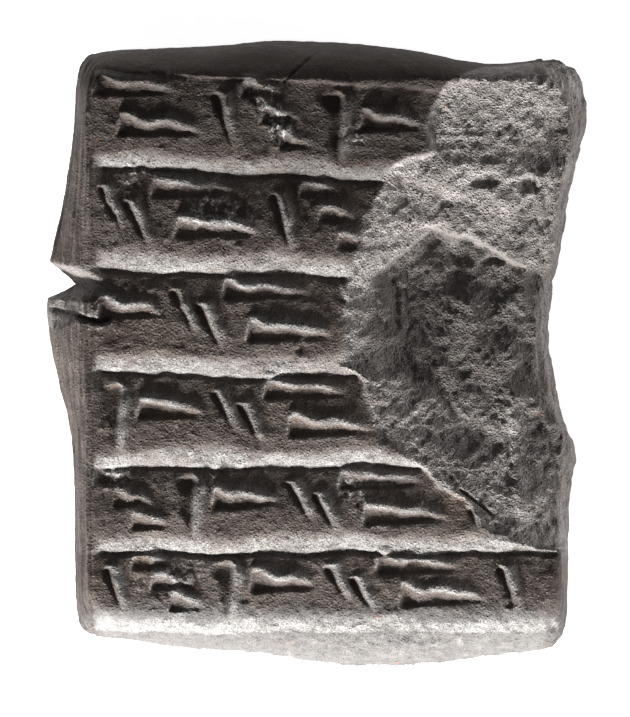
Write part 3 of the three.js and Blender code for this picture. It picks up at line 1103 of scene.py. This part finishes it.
@dataclass
class Tablet:
    """The finished clay tablet."""

    lump: Lump
    relief: Relief
    finish: AgedClay
    zones: Zones = Zones()
    node: str = "clay_tablet"
    across: int = 340
    along: int = 400
    levels: int = 56
    coarser: int = 4
    most_triangles: int = 194_000
    wall_pats: Grain = Grain(5.0, 0.16, 2, 0.6, 101)
    wall_skin: Grain = Grain(1.1, 0.05, 4, 0.65, 111)
    wall_streaks: Grain = Grain(0.8, 0.16, 2, 0.8, 121, finer=(1.0, 0.07, 1.0))
    streak_lean: float = 0.8
    torn_wall: Grain = Grain(1.3, 0.3, 3, 0.65, 131, finer=(1.6, 0.45, 0.8))
    foot: Grain = Grain(0.9, 0.16, 3, 0.65, 151)
    most_dent: float = 0.22
    edge_dent: float = 0.6
    edge_from: float = 0.84
    back_inset: float = 0.995
    border: Wave = Wave(2.4, 1.6, 141)
    border_fray: Wave = Wave(0.8, 0.6, 142)

    def build(self) -> bpy.types.Object:
        """Makes the tablet, dresses it and puts it in its node's place.

        Returns:
            The tablet's object.
        """
        points, faces = self.surface()
        low, high = (np.array(corner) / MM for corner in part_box(self.node))
        middle = (points.min(0) + points.max(0)) / 2
        shift = np.array([*((low + high) / 2 - middle)[:2], 0.0])
        mesh = bpy.data.meshes.new("tablet")
        mesh.from_pydata((points + shift) * MM, [], faces)
        mesh.polygons.foreach_set("use_smooth", np.ones(len(mesh.polygons), bool))
        piece = bpy.data.objects.new("tablet", mesh)
        bpy.context.scene.collection.objects.link(piece)
        self.thin_out(piece)
        self.mark(piece, shift)
        piece.data.materials.append(self.finish.material())
        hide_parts(self.node)
        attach(piece, "root")
        return piece

    def surface(self) -> tuple[np.ndarray, list[list[int]]]:
        """Works out the closed skin: the face, the walls below it and a coarser back.

        Returns:
            Its points in millimetres, and its faces as lists of point numbers.
        """
        top, ring = self.sheet(self.across, self.along, 1)
        walls = self.walls(top[ring])
        back, back_ring = self.sheet(self.across // self.coarser, self.along // self.coarser, -1)
        faces = grid_faces(self.across, self.along, 0, False)
        around = len(ring)
        rings = np.vstack([ring, len(top) + np.arange(walls.shape[0] * around).reshape(-1, around)])
        for upper, lower in zip(rings[:-1], rings[1:]):
            next_upper, next_lower = np.roll(upper, -1), np.roll(lower, -1)
            faces += np.column_stack([upper, lower, next_lower, next_upper]).tolist()
        start = len(top) + walls.shape[0] * around
        faces += grid_faces(self.across // self.coarser, self.along // self.coarser, start, True)
        fine, coarse = rings[-1], back_ring + start
        for n in range(len(coarse)):
            wall = [int(fine[(n * self.coarser + k) % around]) for k in range(self.coarser + 1)]
            faces.append([*wall[::-1], int(coarse[n]), int(coarse[(n + 1) % len(coarse)])])
        points = np.vstack([top, walls.reshape(-1, 3), back])
        return self.weather(points), faces

    def sheet(self, across: int, along: int, side: int) -> tuple[np.ndarray, np.ndarray]:
        """Lays a grid over the face or the back.

        Args:
            across: Cells along X.
            along: Cells along Y.
            side: 1 for the face and -1 for the back.

        Returns:
            The grid's points as u, v and angle, and the numbers of those on its rim, in order around it.
        """
        reach = 1.0 if side > 0 else self.back_inset
        columns = np.linspace(-reach, reach, across + 1)
        rows = np.linspace(-reach, reach, along + 1)
        a, b = np.meshgrid(columns, rows, indexing="ij")
        number = np.arange((across + 1) * (along + 1)).reshape(across + 1, along + 1)
        rim = np.concatenate([number[:-1, 0], number[-1, :-1], number[:0:-1, -1], number[0, :0:-1]])
        ring = np.maximum(np.maximum(np.abs(a), np.abs(b)), TINY)
        roll = np.clip((ring - self.lump.roll_start) / (1 - self.lump.roll_start), 0, 1)
        angle = side * (np.pi / 2) * (1 - roll / 2)
        spread = np.minimum(1, ring / self.lump.roll_start) * self.rounded(a / ring, b / ring)
        return np.stack([a / ring * spread, b / ring * spread, angle], -1).reshape(-1, 3), rim

    def rounded(self, a: np.ndarray, b: np.ndarray) -> np.ndarray:
        """How far a square's edge is drawn in to round its corners."""
        power = self.lump.corner_power
        return np.maximum(np.abs(a) ** power + np.abs(b) ** power, 0.5) ** (-1 / power)

    def walls(self, rim: np.ndarray) -> np.ndarray:
        """Continues the face's rim down the walls.

        Args:
            rim: The rim's points as u, v and angle.

        Returns:
            One ring of points for each level below the rim.
        """
        angles = np.linspace(np.pi / 4, -np.pi / 4, self.levels + 1)[1:]
        rings = np.repeat(rim[None], self.levels, 0)
        rings[:, :, 2] = angles[:, None]
        return rings

    def weather(self, points: np.ndarray) -> np.ndarray:
        """Turns places on the skin into points, with their relief.

        Args:
            points: u, v and angle of each place.

        Returns:
            X, Y and Z in millimetres.
        """
        u, v, angle = points.T
        x, y = self.lump.plan(u, v, angle)
        face = angle > 0
        rise = np.sin(angle)
        relief = self.relief.sample(self.relief.height, x, y)
        reach = np.where(face, self.lump.crown(x, y) + relief, self.lump.back(u, v))
        z = self.lump.half_thickness + reach * rise
        side = np.sqrt(np.clip(np.cos(angle), 0, 1))
        zones = self.zones
        streak = self.wall_streaks.at(x + self.streak_lean * z, y) * zones.streaked.at(x)
        torn = self.torn_wall.at(x, y, z) * zones.torn_side.at(x) * zones.torn_above.at(y)
        foot = self.foot.at(x, y, z) * zones.rough_foot.at(y)
        dent = self.wall_pats.at(x, y, z) + self.wall_skin.at(x, y, z) + streak + torn + foot
        near_edge = self.edge_dent * (np.abs(u) > self.edge_from)
        dent = np.minimum(dent, self.most_dent) * np.maximum(side, near_edge)
        out = np.maximum(np.hypot(u, v), TINY)
        x = x + dent * u / out
        y = y + dent * v / out
        z = z + np.where(face, dent * rise, 0)
        pit = np.clip(self.wall_pats.at(x, y) + self.wall_skin.at(x, y), 0, None)
        pit = pit * zones.pitted.at(self.lump.half_thickness - reach)
        z = np.where(face, z, np.maximum(z + pit, 0.0))
        return np.stack([x, y, z], -1)

    def thin_out(self, piece: bpy.types.Object) -> None:
        """Merges the triangles that carry no detail, so that the piece keeps under its limit."""
        triangles = sum(len(face.vertices) - 2 for face in piece.data.polygons)
        thinner = piece.modifiers.new("thinner", "DECIMATE")
        thinner.ratio = min(1.0, self.most_triangles / triangles)
        view = bpy.context.evaluated_depsgraph_get()
        final = bpy.data.meshes.new_from_object(piece.evaluated_get(view))
        piece.modifiers.clear()
        piece.data = final
        piece.data.name = "tablet"

    def mark(self, piece: bpy.types.Object, shift: np.ndarray) -> None:
        """Writes on each point what the finish needs to know about the clay there.

        The layers are broken, hollow, salty, rubbed, stained, grimy, fibrous and dusty.

        Args:
            piece: The tablet's object.
            shift: How far its mesh was moved to its node's place, in millimetres.
        """
        flat = np.empty(len(piece.data.vertices) * 3, np.float32)
        piece.data.vertices.foreach_get("co", flat)
        x, y, z = (flat.reshape(-1, 3) / MM - shift).T
        zones, relief = self.zones, self.relief
        written = zones.written.at(z)
        line = self.border.at(x, y, z) + self.border_fray.at(x, y, z)
        bare = zones.bare_level.at(z + line) * zones.bare_foot.at(y + zones.bare_foot_sway * line)
        bare = bare * zones.bare_top.at(y + zones.bare_top_sway * line)
        broken = relief.sample(relief.broken, x, y) * np.maximum(bare, zones.face.at(z))
        # the notch's clay counts as broken and gets a painted shade
        chipped = zones.notch.at(self.lump.chip.depth(y, z)) * zones.notch_side.at(x)
        # wear map with its painted highlight on the lamp-facing ledges, kept on the written face and the
        # foot
        wear_and_highlight = relief.sample(relief.wear_and_highlight, x, y) * np.maximum(written, zones.wear_and_highlight_foot.at(y))
        # painted shade towards the top, on the skin only
        painted_top_shade = np.maximum(zones.painted_top_shade.at(y + zones.top_shade_slant * x), zones.top_edge_shade.at(y))
        layers = {
            "broken": np.maximum(broken, chipped),
            "hollow": relief.sample(relief.hollow, x, y) * written,
            "salty": relief.sample(relief.salty, x, y) * written,
            "wear_and_highlight": wear_and_highlight,
            "painted_deep_shade": np.maximum(relief.sample(relief.painted_deep_shade, x, y) * broken, chipped),
            "painted_top_shade": painted_top_shade * (1 - broken),
            "fibrous": np.maximum(zones.left_fibres.at(x), zones.right_fibres.at(x)),
            "dusty": zones.dusty.at(y + zones.dusty_sway * line),
        }
        for name, values in layers.items():
            layer = piece.data.attributes.new(name, "FLOAT", "POINT")
            layer.data.foreach_set("value", values.astype(np.float32))


def grid_faces(across: int, along: int, start: int, flipped: bool) -> list[list[int]]:
    """Numbers the faces of a grid of points.

    Args:
        across: Cells along X.
        along: Cells along Y.
        start: The number of its first point.
        flipped: Whether the faces look down instead of up.

    Returns:
        Four point numbers for each face.
    """
    number = start + np.arange((across + 1) * (along + 1)).reshape(across + 1, along + 1)
    corners = [number[:-1, :-1], number[1:, :-1], number[1:, 1:], number[:-1, 1:]]
    if flipped:
        corners.reverse()
    return np.stack(corners, -1).reshape(-1, 4).tolist()


# ---- Studio ----


@dataclass(frozen=True)
class Lamp:
    """A soft box that faces the tablet."""

    name: str
    size: tuple[float, float]
    watts: float
    place: tuple[float, float, float]
    colour: tuple[float, float, float] = (1.0, 1.0, 1.0)

    def build(self, target: np.ndarray) -> bpy.types.Object:
        """Hangs the lamp and turns it towards the target.

        Args:
            target: The point that it faces, in metres.

        Returns:
            The lamp's object.
        """
        light = bpy.data.lights.new(self.name, "AREA")
        light.shape = "RECTANGLE"
        light.size, light.size_y = self.size
        light.energy = self.watts
        light.color = self.colour
        lamp = bpy.data.objects.new(self.name, light)
        lamp.location = self.place
        aim = type(lamp.location)(target) - lamp.location
        lamp.rotation_euler = aim.to_track_quat("-Z", "Y").to_euler()
        bpy.context.scene.collection.objects.link(lamp)
        return lamp


@dataclass
class Studio:
    """A pale floor, a low lamp that rakes the written face, a soft fill and a camera straight above."""

    floor_size: float = 3.0
    floor_finish: PaleFloor = PaleFloor()
    lamps: tuple[Lamp, ...] = (
        Lamp("raking", (0.08, 0.08), 8.2, (-0.1, -0.4, 0.107), (1.0, 0.99, 0.985)),
        Lamp("side", (0.1, 0.1), 1.3, (0.4, -0.1, 0.07), (1.0, 0.985, 0.98)),
        Lamp("fill", (0.5, 0.5), 0.25, (-0.25, -0.1, 0.6), (1.0, 0.985, 0.98)),
    )
    world: float = 0.06
    lens: float = 400.0
    frame_width: float = 44.2
    offset: tuple[float, float] = (-0.1, -0.35)

    def build(self) -> None:
        """Lays the floor, hangs the lamps, and sets the camera and the world."""
        low, high = (np.array(corner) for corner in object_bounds())
        middle = (low + high) / 2
        self.lay_floor()
        for lamp in self.lamps:
            lamp.build(middle)
        self.set_camera(middle)
        world = bpy.data.worlds.new("studio")
        world.use_nodes = True
        world.node_tree.nodes["Background"].inputs["Color"].default_value = rgb(1.0, 1.0, 1.0)
        world.node_tree.nodes["Background"].inputs["Strength"].default_value = self.world
        bpy.context.scene.world = world
        bpy.context.scene.view_settings.view_transform = "Standard"

    def lay_floor(self) -> None:
        """Lays the floor that the tablet lies on."""
        half = self.floor_size / 2
        mesh = bpy.data.meshes.new("floor")
        corners = [(-half, -half, 0), (half, -half, 0), (half, half, 0), (-half, half, 0)]
        mesh.from_pydata(corners, [], [(0, 1, 2, 3)])
        mesh.materials.append(self.floor_finish.material())
        floor = bpy.data.objects.new("floor", mesh)
        bpy.context.scene.collection.objects.link(floor)
        floor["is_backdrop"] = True

    def set_camera(self, middle: np.ndarray) -> None:
        """Puts the camera straight above the tablet, with the first row at the top of its view.

        Args:
            middle: The middle of the tablet's box, in metres.
        """
        camera = bpy.data.cameras.new("camera")
        camera.sensor_fit = "HORIZONTAL"
        camera.lens = self.lens
        distance = self.frame_width * MM * self.lens / camera.sensor_width
        eye = bpy.data.objects.new("camera", camera)
        across, along = (place + offset * MM for place, offset in zip(middle, self.offset))
        eye.location = (across, along, middle[2] + distance)
        bpy.context.scene.collection.objects.link(eye)
        bpy.context.scene.camera = eye


def main() -> None:
    """Loads the frame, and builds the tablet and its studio."""
    logging.basicConfig(level=logging.INFO, format="%(name)s: %(message)s")
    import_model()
    relief = Relief(Writing(), Break())
    tablet = Tablet(Lump(), relief, AgedClay()).build()
    LOG.info("%s: %d faces", tablet.name, len(tablet.data.polygons))
    Studio().build()
    LOG.info("studio: floor, lamps and camera")


if __name__ == "__main__":
    main()
